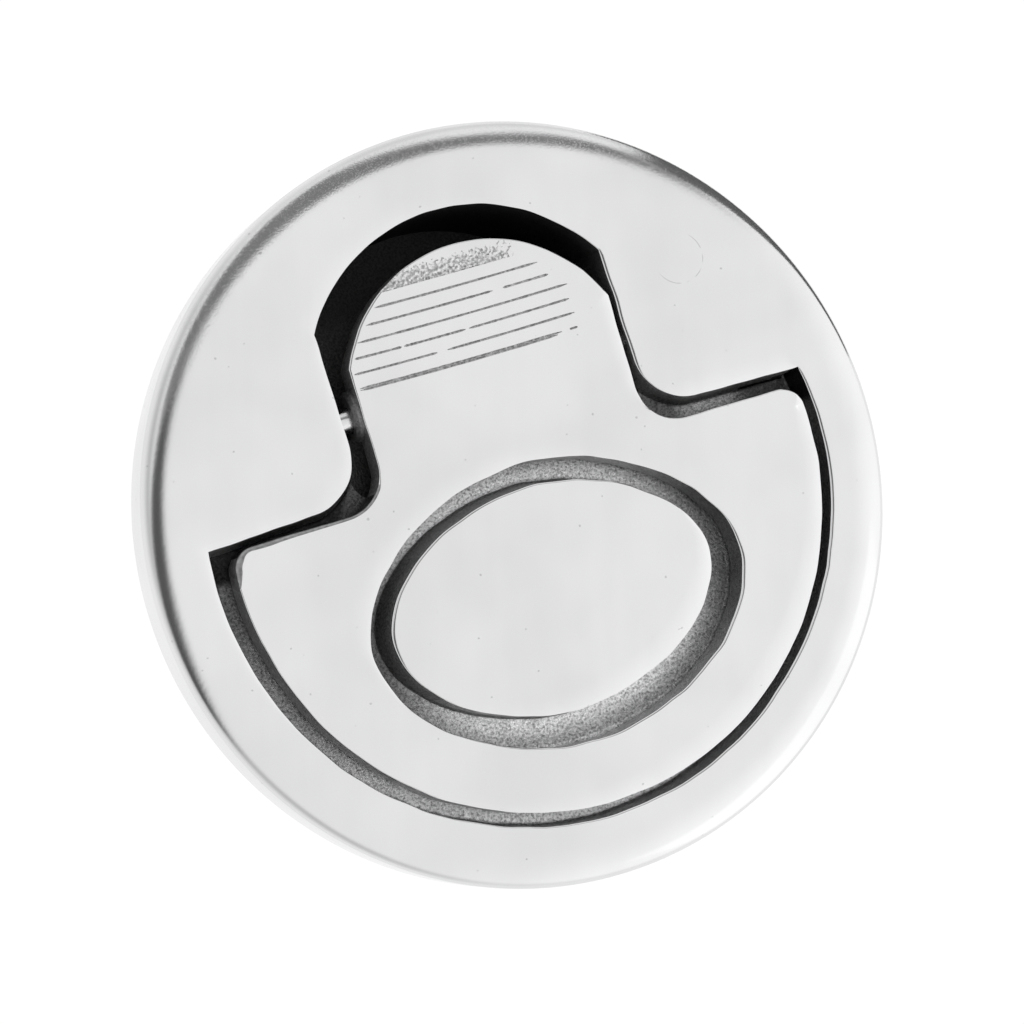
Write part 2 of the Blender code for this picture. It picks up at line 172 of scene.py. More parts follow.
# Drafted walls and filleted floor of the recess, as (height above the floor, how far in)
RECESS_WALL = ((0.0, 0.45 * MM), (0.12 * MM, 0.2 * MM), (0.45 * MM, 0.06 * MM), (1.0 * MM, 0.0))
ISLAND_WALL = ((0.0, 0.5 * MM), (0.15 * MM, 0.15 * MM), (0.5 * MM, 0.0))
RECESS_LEAN = 0.45 * MM
ISLAND_LEAN = 0.5 * MM

# The upper left side of the recess, whose walls and fillets get painted shade
SHADED_SIDE = Vector((-0.8, 0.6))
SHADED_FROM = 17.0 * MM
SHADED_FLAT = 0.85
SHADED_FADE = (12.9 * MM, 13.5 * MM, 1.0, 0.3)
ARC_FADE = (13.0 * MM, 20.0 * MM, 1.0, 0.45)

# Painted shade in the well, darkest behind the tip of the thumb tab
WELL_PAINTED_SHADE = (14.0 * MM, 20.5 * MM, 1.0, 0.2)

# Painted shade in the gaps above the ring's shoulders, and painted light on the part of the right one that
# looks lit
SHOULDER_GAPS = (0.5 * MM, 1.5 * MM, 1.0, 0.0)
GAP_LIT_FROM = (15.0 * MM, 17.0 * MM, 0.25, 0.75)
GAP_LIT_UNTIL = (19.5 * MM, 22.5 * MM, 0.75, 0.2)

# Threads, washers and nuts
THREAD_PITCH = 0.8 * MM
THREAD_DEPTH = 0.46 * MM
THREAD_FLANK = 2.6
THREAD_CREST = 0.2
THREAD_ROWS = 12
STUD_CHAMFER = 0.5 * MM
PIN_CHAMFER = 0.25 * MM
WASHER_HOLE_CLEARANCE = 0.2 * MM
WASHER_EDGE = 0.12 * MM
LOCK_WASHER_SLOT = 0.8 * MM
LOCK_WASHER_SLANT = 0.5 * MM
NUT_ACROSS_FLATS = 8.0 * MM
NUT_CHAMFER = math.radians(30)
NUT_SIDES = 6
NUT_SINK = 0.35 * MM
THREAD_CLEARANCE = 0.1 * MM

# Ways along the axes
RIGHT = (1, 0, 0)
LEFT = (-1, 0, 0)
AHEAD = (0, 1, 0)
UP = (0, 0, 1)

# Spans of a noise's values that hold most of it. A ramp is a span, and the values at its two ends
# where these aren't 0 and 1
NOISE_SPAN = (0.3, 0.7)
WIDE_NOISE_SPAN = (0.2, 0.8)

# Finish of the polished faces
POLISH_GREY = 0.785
BLUE_CAST = 1.005
POLISH_ANGLE = math.radians(-17)  # of the marks, measured from the Y axis
MARKS_SCALE = 900
MARKS_STRETCH = (1, 14, 1)
MARKS_HEIGHT = 0.0015 * MM
MARKS_SHADE = (0.985, 1.0)
MARKS_ROUGHNESS = (0.12, 0.14)
UNEVEN_SCALE = 2600
UNEVEN_HEIGHT = 0.003 * MM
CLOUD_SCALE = 90
CLOUD_SHADE = (0.93, 1.0)
PIT_SCALE = 2300
PITS = (0.84, 0.88, 0.0, 0.2)

# The matt grain of the rim: far enough up the face and past its flat
UPPER_RIM = (10.0 * MM, 24.0 * MM)
RIM_EDGE = (28.9 * MM, 29.5 * MM)
RIM_GRAIN_SCALE = 8000
RIM_GRAIN_HEIGHT = 0.006 * MM
RIM_GRAIN = (0.5, 0.62, 0.0, 0.13)

# Finish of the cast skin
CAST_SCALE = 4600
CAST_DETAIL = 5.0
CAST_NOISE_ROUGHNESS = 0.75
CAST_GRAIN = (0.3, 0.62)
CAST_HEIGHT = 0.05 * MM
CAST_ROUGHNESS = (0.4, 0.24)
CAST_DARKEST = 0.25
CAST_PATCH_SCALE = 700
CAST_PATCHES = (0.8, 1.0)

# Painted shades of the recess floor by the share of the way out to the finger hole's edge
HOLE_ENDS = (0.1, 0.95, 0.5, 1.0)
HOLE_EDGE = (0.84, 0.98, 1.0, 0.6)
HOLE_OUTSIDE = (0.985, 1.01)
HOLE_BEYOND = (1.03, 1.15)
HOLE_LEFT = (-1.0, -0.55, 0.6, 1.0)
HOLE_MIDDLE = 0.1

# Machined steel
TURNED_SCALE = 1500
TURNED_STRETCH = (1, 1, 0.1)
TURNED_HEIGHT = 0.01 * MM
TURNED_DARKEST = 0.9
TURNED_ROUGHNESS = (0.8, 1.3)

# A faint curved scratch on the face, right of the thumb tab
SCRATCH_PLACE = (18.7 * MM, 15.1 * MM, FACE_Z)
SCRATCH_RADIUS = 2.1 * MM
SCRATCH_WIDTH = 0.07 * MM
SCRATCH_SIDE = (0.6, -0.8, 0)
SCRATCH_FADE = (-1.8 * MM, -0.2 * MM)
SCRATCH_SHADE = 0.25
SCRATCH_BREAK_SCALE = 1500
SCRATCH_BREAKS = (0.42, 0.6)

# The camera, solved from the outlines in the photograph
CAMERA_LENS = 123.05
CAMERA_SENSOR = 36
CAMERA_NEAR = 0.01
CAMERA_BACK = Vector((-0.2769, 0.002, 0.9609)).normalized()
CAMERA_UP = Vector((0.2931, 0.9525, 0.0825))
CAMERA_PLACE = Vector((-78.98, 0.02, 275.01)) * MM

# The lamp and the floor
LAMP_SIZE = 0.6
LAMP_POWER = 0.12
LAMP_PLACE = Vector((0.5, -0.45, 0.3))
FLOOR_HALF_SIZE = 2.0
FLOOR_GAP = 0.2 * MM
FLOOR_PAINT = (0.85, 0.85, 0.85, 1)
FLOOR_GLOW = 1.05
FLOOR_GLOW_SHARE = 0.93

# Dark things of the studio: ways to look, and ramps along them
LIFT_RIGHT = (0.08, 0.28, -0.03, 0.07)
LIFT_FAR_RIGHT = (0.4, 0.56, 0.0, -0.12)
LIFT_LEFT = -0.5
BEHIND_RANGE = (0.24, 0.41)
BEHIND_HEIGHT = (0.56, 0.76)
BEHIND_SHADE = 0.22
BESIDE_WAY = (-0.64, 0.755, 0)
BESIDE_RANGE = (0.05, 0.31)
BESIDE_LEFT = (-0.2, 0.28)
BESIDE_TILT = (0, -0.5, 1)
BESIDE_HEIGHT = (0.59, 0.82)
BESIDE_SHADE = 0.1
BELT_WAY = (0.423, -0.113, 0.899)
BELT_TOP = (0.57, 0.25)
BELT_BOTTOM = (-0.29, 1.04)
BELT_DEPTH = (0.05, 0.6, 0.4, 0.95)
NEAR_SIDE_WAY = (0.75, -0.6, 0)
NEAR_SIDE = (0.2, 0.75, 1.0, 1.2)

# Dark card beside the set: its colour, direction, distance and outline as (sideways, height)
FLAG_GREY = (0.17, 0.17, 0.17)
FLAG_ANGLE = math.radians(30)
FLAG_DISTANCE = 95.0 * MM
FLAG_OUTLINE = (
    (-44 * MM, -24 * MM), (36 * MM, -24 * MM), (36 * MM, -3 * MM), (24 * MM, 4 * MM),
    (21 * MM, 54 * MM), (11 * MM, 60 * MM), (-9 * MM, 37 * MM), (-20 * MM, 18 * MM), (-44 * MM, 2 * MM),
)

# How finely shapes are divided
ARC_STEP = math.radians(1.5)
STRAIGHT_STEP = 0.5 * MM
OVAL_POINTS = 240
RIM_SEGMENTS = 240
RIM_STEPS = 20
ROUND_SEGMENTS = 64
THREAD_SEGMENTS = 40
ROLL_STEPS = 8
GROOVE_STEPS = 24
EDGE_STEPS = 3
OVERCUT = 1.0 * MM

# Waves that hand grinding left in the cast edges
WAVE_HEIGHT = 0.09 * MM
RING_WAVE_HEIGHT = 0.07 * MM
WAVE_LENGTH = 2.2 * MM
WAVE_STRETCH = 3.0
HOLE_WAVE_HEIGHT = 0.12 * MM

# Which faces take which skin: how near they lie to a place, and how far they tilt
NEAR = 0.1 * MM
AT_SEAT = 0.01 * MM
SHOULDER_NEAR = 1.0 * MM
SHOULDER_BELOW = 0.5 * MM
HOLE_REACH = 1.15
ISLAND_REACH = 1.12
FLAT_SLOPE = 0.7
SHOULDER_SLOPE = 0.7
UP_SLOPE = 0.5
POLISH_SLOPE = 0.1
POLISHED_ABOVE = FACE_Z - ROLL_WIDE_DROP - STRIP_DEPTH - STRIP_GRAIN
DEEP_ABOVE = WELL_BOTTOM + 0.5 * WELL_WALL
DEEP_BELOW = FACE_Z - RECESS_DEPTH - NEAR

# Smooth shading: the sharpest smooth corner, and the slopes of level and of rounded faces
SHARP_ANGLE = math.radians(30)
LEVEL_SLOPE = 0.9999
ROUNDED_SLOPE = 0.8

# Which material a face of a casting takes; WALL and DEEP are darker skins that paint shade on walls, in the
# well and on the hub
POLISH, SKIN, WALL, DEEP, GROOVE, DULL, WORN, BACK = range(8)


def link(name, mesh):
    obj = bpy.data.objects.new(name, mesh)
    bpy.context.scene.collection.objects.link(obj)
    return obj


def frozen(obj):
    """A plain mesh of an object with its modifiers applied."""
    graph = bpy.context.evaluated_depsgraph_get()
    return bpy.data.meshes.new_from_object(obj.evaluated_get(graph))


def mirrored(points):
    return [Vector((-point.x, point.y)) for point in reversed(points)]


def arc(centre, radius, start, end):
    steps = max(2, math.ceil(abs(end - start) / ARC_STEP))
    angles = [start + (end - start) * step / steps for step in range(steps + 1)]
    return [centre + radius * Vector((math.cos(angle), math.sin(angle))) for angle in angles]


def oval(centre, half_length, half_width):
    points = []
    for step in range(OVAL_POINTS):
        angle = math.tau * (step + 0.5) / OVAL_POINTS
        along = math.copysign(abs(math.cos(angle)) ** (2 / OVAL_EXPONENT), math.cos(angle))
        across = math.copysign(abs(math.sin(angle)) ** (2 / OVAL_EXPONENT), math.sin(angle))
        points.append(centre + Vector((half_length * along, half_width * across)))
    return points


def outward(points):
    """Unit normals of a closed outline that runs anticlockwise."""
    normals = []
    for number in range(len(points)):
        along = points[(number + 1) % len(points)] - points[number - 1]
        normals.append(Vector((along.y, -along.x)).normalized())
    return normals


def waved(points, height=WAVE_HEIGHT):
    """The outline with even steps and the small waves of a hand-ground edge."""
    even = []
    for number, point in enumerate(points):
        before = points[number - 1]
        steps = max(1, round((point - before).length / STRAIGHT_STEP))
        even += [before.lerp(point, (step + 1) / steps) for step in range(steps)]
    moved = []
    for point, out in zip(even, outward(even)):
        place = Vector((point.x, point.y, 0)) / WAVE_LENGTH
        wave = noise.noise(place) + noise.noise(place / WAVE_STRETCH)
        moved.append(point + out * height * wave)
    return moved


def head_side(half_width, centre_y, radius):
    start = math.acos(half_width / radius)
    return arc(Vector((0, centre_y)), radius, start, math.pi / 2)


def recess_outline():
    tip_angle = math.asin(RECESS_TIP_Y / RECESS_RADIUS)
    fillet_centre = Vector((NECK_HALF_WIDTH + RECESS_FILLET, RECESS_SHOULDER_Y + RECESS_FILLET))
    right = arc(Vector((0, 0)), RECESS_RADIUS, -math.pi / 2, tip_angle)
    right += arc(fillet_centre, RECESS_FILLET, -math.pi / 2, -math.pi)
    right += head_side(NECK_HALF_WIDTH, HEAD_CENTRE_Y, HEAD_RADIUS)
    return right + mirrored(right)[1:-1]


def well_outline(front_y, wall):
    half_width = NECK_HALF_WIDTH + wall
    corner = WELL_CORNER + wall
    front = front_y - wall
    right = [Vector((0, front))]
    right += arc(Vector((half_width - corner, front + corner)), corner, -math.pi / 2, 0)
    right += head_side(half_width, HEAD_CENTRE_Y, HEAD_RADIUS + wall)
    return right + mirrored(right)[1:-1]


def ring_outline():
    corner_reach = RING_RADIUS - RING_CORNER
    corner_y = RING_SHOULDER_Y - RING_CORNER
    corner_centre = Vector((math.sqrt(corner_reach**2 - corner_y**2), corner_y))
    corner_start = math.atan2(corner_centre.y, corner_centre.x)
    fillet_centre = Vector((RING_NECK_HALF_WIDTH + RING_FILLET, RING_SHOULDER_Y + RING_FILLET))
    right = arc(Vector((0, 0)), RING_RADIUS, -math.pi / 2, corner_start)
    right += arc(corner_centre, RING_CORNER, corner_start, math.pi / 2)[1:]
    right += arc(fillet_centre, RING_FILLET, -math.pi / 2, -math.pi)
    right += head_side(RING_NECK_HALF_WIDTH, TAB_CENTRE_Y, TAB_RADIUS)
    return right + mirrored(right)[1:-1]


def loft(name, rings, looped=False):
    """A solid through closed rings of points, with caps at its ends unless it loops back on itself."""
    count = len(rings[0])
    places = [place for ring in rings for place in ring]
    faces = []
    for span in range(len(rings) if looped else len(rings) - 1):
        near = span * count
        far = (span + 1) % len(rings) * count
        for number in range(count):
            after = (number + 1) % count
            faces.append((near + number, near + after, far + after, far + number))
    if not looped:
        faces.append(tuple(reversed(range(count))))
        faces.append(tuple(range(len(places) - count, len(places))))
    mesh = bpy.data.meshes.new(name)
    mesh.from_pydata(places, [], faces)
    shell = bmesh.new()
    shell.from_mesh(mesh)
    bmesh.ops.recalc_face_normals(shell, faces=shell.faces)
    shell.to_mesh(mesh)
    shell.free()
    return link(name, mesh)


def level(points, height, reach=0.0):
    """A ring of points at one height, the outline moved out by reach."""
    return [(*(point + out * reach), height) for point, out in zip(points, outward(points))]


def leaning(points, floor, wall, sign, lean):
    """Rings up a wall from its filleted foot, inwards for a cutter (sign -1), leaning on the shaded side."""
    rings = []
    for height, reach in wall:
        ring = []
        for point, out in zip(points, outward(points)):
            below_head = min(1.0, max(0.0, (HEAD_CENTRE_Y - point.y) / RECESS_FILLET))
            lean_here = lean * below_head * max(0.0, out.dot(SHADED_SIDE))
            place = point + out * sign * (reach + lean_here * (1 - height / RECESS_DEPTH))
            ring.append((place.x, place.y, floor + height))
        rings.append(ring)
    return rings


def nearness(point, place, reach):
    """One at a place, falling to nothing at a distance of reach."""
    return max(0.0, 1 - (point - place).length / reach)


def wear(point):
    """How worn the ring's left shoulder is at a point: one at its corner, nothing away from it."""
    along = WORN_CORNER - WORN_START
    share = min(1.0, max(0.0, (point - WORN_START).dot(along) / along.length_squared))
    near = min(1.0, WORN_STEEPNESS * nearness(point, WORN_START + along * share, WORN_REACH))
    return near * (WORN_LEAST + (1 - WORN_LEAST) * share**2)


def rolled(points, sign, on_ring=False):
    """Rings up a wall and over its rolled edge: inwards for a body, outwards (sign 1) for a cutter."""
    sides = []
    for point, out in zip(points, outward(points)):
        facing = -sign * out
        wide = max(0.0, facing.dot(ROLL_TOWARDS))
        upper = 0.0 if on_ring else max(0.0, facing.dot(SHADED_SIDE))
        left = 0.0 if on_ring else max(0.0, facing.dot(ROLL_LEFTWARDS))
        worn = wear(point) if on_ring else 0.0
        width = ROLL_NARROW + (ROLL_WIDE - ROLL_NARROW) * wide + WORN_WIDTH * worn
        width += (ROLL_LEFT - ROLL_NARROW) * left + (ROLL_UPPER - ROLL_NARROW) * upper
        width += TAB_SIDE_ROLL * nearness(point, TAB_SIDE_PLACE, TAB_SIDE_REACH)
        drop = ROLL_DROP + (ROLL_WIDE_DROP - ROLL_DROP) * wide + (ROLL_UPPER_DROP - ROLL_DROP) * upper
        drop += WORN_DROP * worn
        sides.append((point, out * sign, wide, width, drop))
    rings = []
    for step in range(ROLL_STEPS + 1):
        share = step / ROLL_STEPS
        angle = math.pi / 2 * (1 - share)
        ring = []
        for point, inwards, wide, width, drop in sides:
            place = point + inwards * width * ((1 - wide) * (1 - math.sin(angle)) + wide * share)
            fall = drop * ((1 - wide) * (1 - math.cos(angle)) + wide * (1 - share) ** 2)
            ring.append((place.x, place.y, FACE_Z - fall))
        rings.append(ring)
    return rings


def mouth(points):
    """Rings of a cutter round a rolled mouth and on past the face."""
    rings = rolled(points, 1)
    return rings + [[(x, y, FACE_Z + OVERCUT) for x, y, _ in rings[-1]]]


def prism(name, points, bottom, top, edge=0.0):
    """A straight wall between two heights, its ends rounded by edge."""
    quarter = [math.pi / 2 * step / EDGE_STEPS for step in range(EDGE_STEPS + 1)] if edge else [0.0]
    rings = []
    for end, sign in ((bottom, 1), (top, -1)):
        half = []
        for angle in quarter:
            height = end + sign * edge * (1 - math.cos(angle))
            half.append(level(points, height, edge * (math.sin(angle) - 1)))
        rings += half if sign == 1 else half[::-1]
    return loft(name, rings)


def turned(name, profile, segments, place=Vector((0, 0, 0))):
    """A turned solid from (radius, z) points that run up its outer side."""
    turns = [math.tau * number / segments for number in range(segments)]
    rings = []
    for radius, z in profile:
        rings.append([place + Vector((radius * math.cos(a), radius * math.sin(a), z)) for a in turns])
    return loft(name, rings)


def rod(name, radius, length, place, chamfer=0.0):
    """A round bar along X, centred on a place."""
    profile = [(radius, -length / 2), (radius, length / 2)]
    if chamfer:
        profile = [(radius - chamfer, -length / 2), (radius, chamfer - length / 2)]
        profile += [(radius, length / 2 - chamfer), (radius - chamfer, length / 2)]
    bar = turned(name, profile, ROUND_SEGMENTS)
    bar.data.transform(Matrix.Translation(place) @ Matrix.Rotation(math.pi / 2, 4, "Y"))
    return bar


def carve(body, tools):
    """Adds and cuts the (tool, operation) pairs in turn, and returns the mesh that is left."""
    for tool, operation in tools:
        modifier = body.modifiers.new(tool.name, "BOOLEAN")
        modifier.operation = operation
        modifier.object = tool
        modifier.solver = "EXACT"
    mesh = frozen(body)
    for tool, _ in tools:
        bpy.data.objects.remove(tool)
    bpy.data.objects.remove(body)
    return mesh


def dress(obj, index=POLISH):
    """Gives a casting or a cutter all the castings' materials, its faces set to one of them."""
    for material in CASTING_MATERIALS:
        obj.data.materials.append(material)
    for face in obj.data.polygons:
        face.material_index = index
    return obj


def flange_profile():
    """Half section of the flange, from the seat round the rim up to the face."""
    face_radius = HOUSING_RADIUS - RIM_WIDTH
    profile = [(HOUSING_RADIUS - SEAT_CHAMFER, 0), (HOUSING_RADIUS, SEAT_CHAMFER)]
    for step in range(RIM_STEPS + 1):
        angle = math.pi / 2 * (1 - step / RIM_STEPS)
        profile.append((face_radius + RIM_WIDTH * math.sin(angle), FACE_Z - RIM_DROP * (1 - math.cos(angle))))
    return profile


def recess_cutter(floor):
    """Cuts the recess, with drafted walls, a filleted floor and a rolled edge round its mouth."""
    points = waved(recess_outline())
    return loft("recess", leaning(points, floor, RECESS_WALL, -1, RECESS_LEAN) + mouth(points))


def island_body(floor):
    """The oval island, from inside the recess floor up to its rolled edge."""
    points = waved(oval(ISLAND_CENTRE, ISLAND_HALF_LENGTH, ISLAND_HALF_WIDTH))
    rings = [level(points, floor - CUT_STAGGER, ISLAND_WALL[0][1])]
    rings += leaning(points, floor, ISLAND_WALL, 1, ISLAND_LEAN)
    return loft("island", rings + rolled(points, -1))


def make_housing():
    """The cast housing with its crowned rim, recess, island and well."""
    body = dress(turned("housing_blank", flange_profile(), RIM_SEGMENTS))
    ledge_floor = FACE_Z - LEDGE_DEPTH
    well_floor = WELL_BOTTOM + WELL_WALL
    recess_floor = FACE_Z - RECESS_DEPTH
    ledge_boss = well_outline(WELL_FRONT_Y, WELL_WALL)
    well_boss = well_outline(STOP_Y, WELL_WALL)
    ledge = well_outline(WELL_FRONT_Y, 0)
    well = well_outline(STOP_Y, 0)
    blind_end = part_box("pivot_pin")[0].x
    bore_length = HOUSING_RADIUS + OVERCUT - blind_end
    bore_place = Vector((blind_end + bore_length / 2, PIVOT.y, PIVOT.z))
    tools = [
        (prism("ledge_boss", ledge_boss, ledge_floor - WELL_WALL, BOSS_OVERLAP, BOSS_EDGE), "UNION"),
        (prism("well_boss", well_boss, WELL_BOTTOM, BOSS_OVERLAP + CUT_STAGGER, BOSS_EDGE), "UNION"),
        (recess_cutter(recess_floor), "DIFFERENCE"),
        (prism("ledge", ledge, ledge_floor, recess_floor + CUT_STAGGER), "DIFFERENCE"),
        (prism("well", well, well_floor, recess_floor + 2 * CUT_STAGGER), "DIFFERENCE"),
        (island_body(recess_floor), "UNION"),
        (rod("pin_seat", PIN_RADIUS + BORE_CLEARANCE, bore_length, bore_place), "DIFFERENCE"),
    ]
    housing = link("housing_casting", carve(body, tools))
    finish(housing)
    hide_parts("housing")
    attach(housing, "base")


def groove_cutter(start, end, y):
    """A shallow V cut along X that runs out at both ends."""
    rings = []
    for step in range(GROOVE_STEPS + 1):
        x = start + (end - start) * step / GROOVE_STEPS
        depth = min(1.0, (x - start) / GROOVE_TAPER + GROOVE_END, (end - x) / GROOVE_TAPER + GROOVE_END)
        depth *= 1 + GROOVE_UNEVEN * noise.noise(Vector((x, y, 0)) / GROOVE_UNEVEN_LENGTH)
        across = y + GROOVE_BOW * ((x - GROOVE_MIDDLE) / GROOVE_BOW_REACH) ** 2
        half = GROOVE_WIDTH / 2 * depth * GROOVE_RISE
        top = FACE_Z + (GROOVE_RISE - 1) * GROOVE_DEPTH * depth
        bottom = FACE_Z - GROOVE_DEPTH * depth
        rings.append([(x, across - half, top), (x, across, bottom), (x, across + half, top)])
    return dress(loft("groove", rings), GROOVE)


def groove_cutters():
    """All the runs of the grooves, and a second line close beside the last one."""
    first_y = TAB_CENTRE_Y + TAB_RADIUS - GROOVE_FIRST_FROM_TIP
    cutters = []
    for number, runs in enumerate(GROOVE_RUNS_MM):
        y = first_y - number * GROOVE_PITCH
        cutters += [groove_cutter(start * MM, end * MM, y) for start, end in runs]
    last_start = GROOVE_RUNS_MM[-1][0][0] * MM
    cutters.append(groove_cutter(last_start, DOUBLE_GROOVE_END, y - DOUBLE_GROOVE_SHIFT))
    return cutters


def strip_cutter():
    """The unpolished strip near the tab's tip: deepest along its straight lower side, grainy all over."""
    low = TAB_CENTRE_Y + TAB_RADIUS - STRIP_FROM_TIP
    columns = round((STRIP_RIGHT - STRIP_LEFT) / STRIP_CELL)
    rows = round(STRIP_LENGTH / STRIP_CELL)
    rings = []
    for column in range(columns + 1):
        x = STRIP_LEFT + column * STRIP_CELL
        fade = min(1.0, (STRIP_RIGHT - x) / STRIP_FADE)
        ring = [(x, low, FACE_Z + OVERCUT)]
        for row in range(rows + 1):
            y = low + row * STRIP_CELL
            noise_here = noise.noise(Vector((x, y, 0)) / STRIP_GRAIN_LENGTH)
            grain = STRIP_GRAIN * (STRIP_GRAIN_LOW - row / rows) * noise_here
            ring.append((x, y, FACE_Z - STRIP_DEPTH * fade * (1 - row / rows) + grain + STRIP_LIFT))
        ring.append((x, low + rows * STRIP_CELL, FACE_Z + OVERCUT))
        rings.append(ring)
    return dress(loft("strip", rings), DULL)


def is_worn(face):
    """Whether a face lies on the worn edge: on the ring's upper half, and neither level nor upright."""
    upper = face.center.z > FACE_Z - RING_THICKNESS / 2
    least, most = WORN_SLOPE
    return upper and least < face.normal.z < most and wear(face.center.xy) > WORN_FROM


def ring_body(bottom):
    """The ring handle's outside, up to its rolled edge."""
    outline = waved(ring_outline(), RING_WAVE_HEIGHT)
    rings = [level(outline, bottom, -RING_LOWER_EDGE), level(outline, bottom + RING_LOWER_EDGE)]
    return dress(loft("ring_blank", rings + rolled(outline, -1, on_ring=True)))


def hole_cutter(bottom):
    """Cuts the finger hole, with a rolled edge round its mouth."""
    hole = waved(oval(FINGER_CENTRE, FINGER_HALF_LENGTH, FINGER_HALF_WIDTH), HOLE_WAVE_HEIGHT)
    rings = [level(hole, bottom - OVERCUT, RING_LOWER_EDGE), level(hole, bottom, RING_LOWER_EDGE)]
    rings.append(level(hole, bottom + RING_LOWER_EDGE))
    return loft("finger_hole", rings + mouth(hole))


def hub_body():
    """The hub that the pin runs through, a little longer on the left."""
    place = Vector((-HUB_LEFT_FACING / 2, PIVOT.y + RING_DROP, PIVOT.z))
    hub = rod("hub", HUB_RADIUS, 2 * HUB_HALF_LENGTH + HUB_LEFT_FACING, place, RING_LOWER_EDGE)
    # The hub takes the darkest skin, as painted shade
    return dress(hub, DEEP)


def make_lift_ring():
    """The ring handle with its thumb tab, hub, finger hole and grip grooves, set as it lies in its play."""
    bottom = FACE_Z - RING_THICKNESS
    body = ring_body(bottom)
    tools = [(hole_cutter(bottom), "DIFFERENCE"), (hub_body(), "UNION")]
    tools += [(cutter, "DIFFERENCE") for cutter in groove_cutters()]
    tools.append((strip_cutter(), "DIFFERENCE"))
    mesh = carve(body, tools)
    for face in mesh.polygons:
        if is_worn(face):
            face.material_index = WORN
    place = Matrix.Translation(Vector((RING_SLIDE, 0, 0)) + PIVOT) @ Matrix.Rotation(RING_SKEW, 4, "Z")
    mesh.transform(place @ Matrix.Translation(Vector((0, -RING_DROP, 0)) - PIVOT))
    bore = rod("hub_bore", PIN_RADIUS + BORE_CLEARANCE, 4 * HUB_HALF_LENGTH, PIVOT)
    ring = link("ring_casting", carve(link("ring_blank", mesh), [(bore, "DIFFERENCE")]))
    finish(ring, on_ring=True)
    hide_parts("lift_ring")
    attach(ring, "ring")


def in_well(place, facing):
    """Whether a face lies in the well behind the thumb tab and looks into it."""
    across = abs(place.x) < NECK_HALF_WIDTH + NEAR or place.y > HEAD_CENTRE_Y
    head = Vector((place.x, max(0.0, place.y - HEAD_CENTRE_Y))).length < HEAD_RADIUS + NEAR
    front = WELL_FRONT_Y if place.z > FACE_Z - LEDGE_DEPTH - NEAR else STOP_Y
    looks_in = facing.z > UP_SLOPE or facing.xy.dot(place.xy - WELL_CENTRE) < 0
    in_depth = DEEP_ABOVE < place.z < DEEP_BELOW and facing.z > -UP_SLOPE
    return in_depth and across and head and looks_in and place.y > front - NEAR


def oval_share(place, centre, half_length, half_width):
    """How far out a point lies in an oval, as a share of the oval's own reach."""
    across = place.xy - centre
    along_share = abs(across.x / half_length) ** OVAL_EXPONENT
    return (along_share + abs(across.y / half_width) ** OVAL_EXPONENT) ** (1 / OVAL_EXPONENT)


def side_skin(place, facing, on_ring):
    """The skin of a steep face: darker skin as painted shade on the island, the ring's outside and the shaded
    and upper walls.
    """
    if on_ring:
        on_shoulder = facing.y > SHOULDER_SLOPE and abs(place.y - RING_SHOULDER_Y) < SHOULDER_NEAR
        hole_centre = FINGER_CENTRE + Vector((RING_SLIDE, -RING_DROP))
        in_hole = oval_share(place, hole_centre, FINGER_HALF_LENGTH, FINGER_HALF_WIDTH) < HOLE_REACH
        return SKIN if in_hole or on_shoulder else WALL
    if place.y > HEAD_CENTRE_Y:
        return DEEP
    on_island = oval_share(place, ISLAND_CENTRE, ISLAND_HALF_LENGTH, ISLAND_HALF_WIDTH) < ISLAND_REACH
    above_shoulders = place.y > RECESS_SHOULDER_Y - SHOULDER_BELOW
    return WALL if on_island or above_shoulders or place.xy.dot(SHADED_SIDE) > SHADED_FROM else SKIN


def skin_of(place, facing, on_ring):
    """The material of a face that no cutter has set: polish above and on the rim, skin in the recess."""
    on_side = math.hypot(place.x, place.y) > HOUSING_RADIUS - RIM_WIDTH and place.z > AT_SEAT
    if on_side or (place.z > POLISHED_ABOVE and facing.z > POLISH_SLOPE):
        return POLISH
    # Faces in the well take the darkest skin: painted shade
    if not on_ring and in_well(place, facing):
        return DEEP
    if place.z < AT_SEAT or facing.z < -UP_SLOPE:
        return BACK
    shaded = not on_ring and place.xy.dot(SHADED_SIDE) > SHADED_FROM
    flat = facing.z > (SHADED_FLAT if shaded else FLAT_SLOPE)
    return SKIN if flat else side_skin(place, facing, on_ring)


def finish(obj, on_ring=False):
    """Gives each face of a casting its skin, then shades it smoothly."""
    for face in obj.data.polygons:
        if face.material_index == POLISH:
            face.material_index = skin_of(face.center, face.normal, on_ring)
    smooth(obj)


def smooth(obj):
    """Smooth shading with sharp corners kept and flat stretches kept flat."""
    obj.data.shade_smooth()
    obj.data.set_sharp_from_angle(angle=SHARP_ANGLE)
    flatten_normals(obj.data)


def flatten_normals(mesh):
    """Keeps the shading of each flat stretch flat up to its rounded edges."""
    for sign in (1, -1):
        flat = set()
        for face in mesh.polygons:
            if face.normal.z * sign > LEVEL_SLOPE:
                flat.update(face.vertices)
        normals = [corner.vector.copy() for corner in mesh.corner_normals]
        for face in mesh.polygons:
            if face.normal.z * sign < ROUNDED_SLOPE:
                continue
            for corner, vertex in zip(face.loop_indices, face.vertices):
                if vertex in flat:
                    normals[corner] = Vector((0, 0, sign))
        mesh.normals_split_custom_set(normals)


def thread_radius(radius, angle, z):
    """The radius of a screw thread: flat crests, sloping flanks and narrow roots."""
    phase = (z / THREAD_PITCH - angle / math.tau) % 1.0
    wave = min(1.0, max(0.0, abs(phase - 0.5) * THREAD_FLANK - THREAD_CREST))
    return radius - THREAD_DEPTH * wave


def polar(x, y, radius, angle, z):
    """A point at a radius and an angle round the upright axis through x and y."""
    return (x + radius * math.cos(angle), y + radius * math.sin(angle), z)


